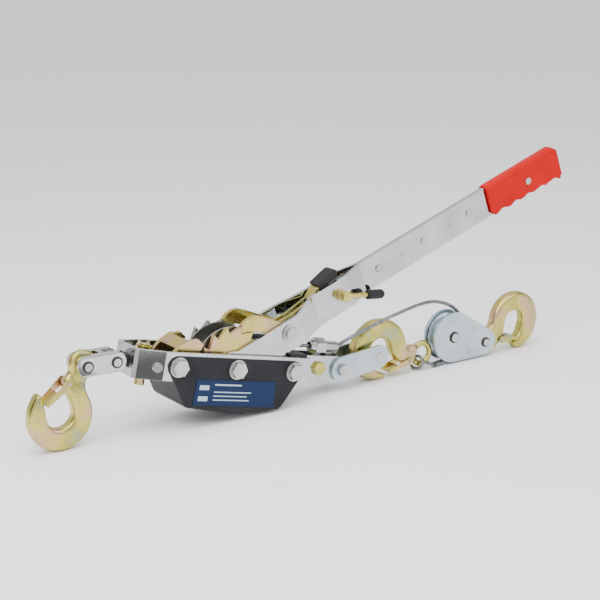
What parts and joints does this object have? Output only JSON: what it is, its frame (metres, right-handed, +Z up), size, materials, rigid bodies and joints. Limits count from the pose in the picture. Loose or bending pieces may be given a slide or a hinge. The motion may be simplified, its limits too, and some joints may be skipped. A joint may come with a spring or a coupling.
{
  "type": "come along winch",
  "caption": "Hand ratchet puller with a wire rope drum in a chrome strap frame, a red-gripped lever, a pulley block and three latched hooks.",
  "frame": {"origin": "middle of the whole winch, on the surface it stands on", "axes": "+X along the pull, from the front hook to the rear hook; +Y across the drum, away from the label; +Z up"},
  "size_m": [0.853, 0.0884, 0.2922],
  "materials": {
    "chrome": "bright chrome plate",
    "bright_bolts": "bright zinc",
    "yellow_zinc": "yellow zinc with iridescent passivation",
    "grey_zinc": "dull zinc",
    "pale_zinc": "blue-white zinc",
    "black_paint": "satin black",
    "label_blue": "printed film",
    "dark_steel": "blackened",
    "bronze": "sintered",
    "wire_rope": "galvanised",
    "black_cap": "dipped",
    "red_grip": "moulded"
  },
  "bodies": {
    "frame": {"strap_frame": "chrome", "taper_screws": "bright_bolts", "cover": "black_paint", "label_plate": "label_blue", "front_bolt": "bright_bolts", "rear_bolt": "bright_bolts", "drum_axle": "bright_bolts", "bolt_washers": "bright_bolts", "nose_lugs": "chrome", "toggle_pin": "yellow_zinc", "rope_run": "wire_rope", "pawl_spring": "grey_zinc", "lever_stop": "black_paint", "tail_plates": "chrome", "bracket_bolt": "yellow_zinc", "rope_guide": "bright_bolts", "guide_nut": "bright_bolts", "link_bolt": "bright_bolts", "mid_hook": "yellow_zinc", "mid_latch_pin": "bright_bolts", "rope_eye": "wire_rope", "ferrule": "wire_rope", "rope": "wire_rope", "near_cheek": "pale_zinc", "far_cheek": "pale_zinc", "sheave_axle": "bright_bolts", "block_hook_pin": "bright_bolts", "block_rivets": "bright_bolts", "block_rings": "dark_steel"},
    "front_link": {"front_link": "grey_zinc"},
    "coupler": {"front_coupler": "chrome", "coupler_hook_pin": "bright_bolts", "coupler_link_pin": "bright_bolts", "coupler_rings": "dark_steel"},
    "front_hook": {"front_hook": "yellow_zinc", "front_latch_pin": "bright_bolts"},
    "front_latch": {"front_latch": "yellow_zinc"},
    "lever": {"lever_near_plate": "chrome", "lever_far_plate": "chrome", "lever_rivets": "bright_bolts", "grip": "red_grip", "grip_screws": "bright_bolts", "drive_pivot_bolt": "bright_bolts"},
    "drum": {"drum": "grey_zinc", "drum_bushes": "bronze", "near_ratchet": "yellow_zinc", "far_ratchet": "grey_zinc", "rope_turns": "wire_rope"},
    "drive_pawl": {"drive_pawl": "yellow_zinc", "pawl_cap": "black_cap"},
    "control": {"control_lever": "yellow_zinc", "control_cap": "black_cap"},
    "holding_pawl": {"holding_pawl": "yellow_zinc"},
    "rear_link": {"link_plates": "pale_zinc", "link_cross_pin": "bright_bolts"},
    "mid_latch": {"mid_latch": "yellow_zinc"},
    "sheave": {"sheave": "pale_zinc"},
    "rear_hook": {"rear_hook": "yellow_zinc", "rear_latch_pin": "bright_bolts"},
    "rear_latch": {"rear_latch": "yellow_zinc"}
  },
  "joints": [
    {"name": "link_yaw", "type": "hinge", "parent": "frame", "child": "front_link", "pos_m": [-0.27028, 0, 0.09201], "axis": [0.2113, 0, 0.9774], "range_deg": [-15, 15]},
    {"name": "coupler_pitch", "type": "hinge", "parent": "front_link", "child": "coupler", "pos_m": [-0.3136, 0, 0.09985], "axis": [0, -1, 0], "range_deg": [-25, 25]},
    {"name": "front_hook_swing", "type": "hinge", "parent": "coupler", "child": "front_hook", "pos_m": [-0.35209, 0, 0.10072], "axis": [0, -1, 0], "range_deg": [-40, 40]},
    {"name": "front_latch_open", "type": "hinge", "parent": "front_hook", "child": "front_latch", "pos_m": [-0.37449, 0, 0.08292], "axis": [0, -1, 0], "range_deg": [0, 30]},
    {"name": "lever_swing", "type": "hinge", "parent": "frame", "child": "lever", "pos_m": [-0.1569, 0, 0.0675], "axis": [0, -1, 0], "range_deg": [0, 58]},
    {"name": "drum_spin", "type": "hinge", "parent": "frame", "child": "drum", "pos_m": [-0.1569, 0, 0.0675], "axis": [0, -1, 0], "continuous": true},
    {"name": "drive_pawl_lift", "type": "hinge", "parent": "lever", "child": "drive_pawl", "pos_m": [-0.0708, 0, 0.09816], "axis": [0, 1, 0], "range_deg": [0, 8]},
    {"name": "control_turn", "type": "hinge", "parent": "lever", "child": "control", "pos_m": [0.02209, 0, 0.13124], "axis": [0, -1, 0], "range_deg": [-15, 20]},
    {"name": "holding_pawl_lift", "type": "hinge", "parent": "frame", "child": "holding_pawl", "pos_m": [-0.24096, 0, 0.08567], "axis": [0, -1, 0], "range_deg": [0, 20]},
    {"name": "rear_link_swing", "type": "hinge", "parent": "frame", "child": "rear_link", "pos_m": [0.01988, 0, 0.03102], "axis": [0, -1, 0], "range_deg": [-3, 3]},
    {"name": "mid_latch_open", "type": "hinge", "parent": "frame", "child": "mid_latch", "pos_m": [0.1441, 0, 0.0175], "axis": [0, 1, 0], "range_deg": [0, 18]},
    {"name": "sheave_spin", "type": "hinge", "parent": "frame", "child": "sheave", "pos_m": [0.2225, 0, 0.0395], "axis": [0, 1, 0], "continuous": true},
    {"name": "rear_hook_swing", "type": "hinge", "parent": "frame", "child": "rear_hook", "pos_m": [0.2821, 0, 0.0225], "axis": [0, -1, 0], "range_deg": [-15, 30]},
    {"name": "rear_latch_open", "type": "hinge", "parent": "rear_hook", "child": "rear_latch", "pos_m": [0.3161, 0, 0.0195], "axis": [0, -1, 0], "range_deg": [0, 25]}
  ],
  "couplings": [
    {"joint": "drum_spin", "follows": "lever_swing", "ratio": 1}
  ]
}
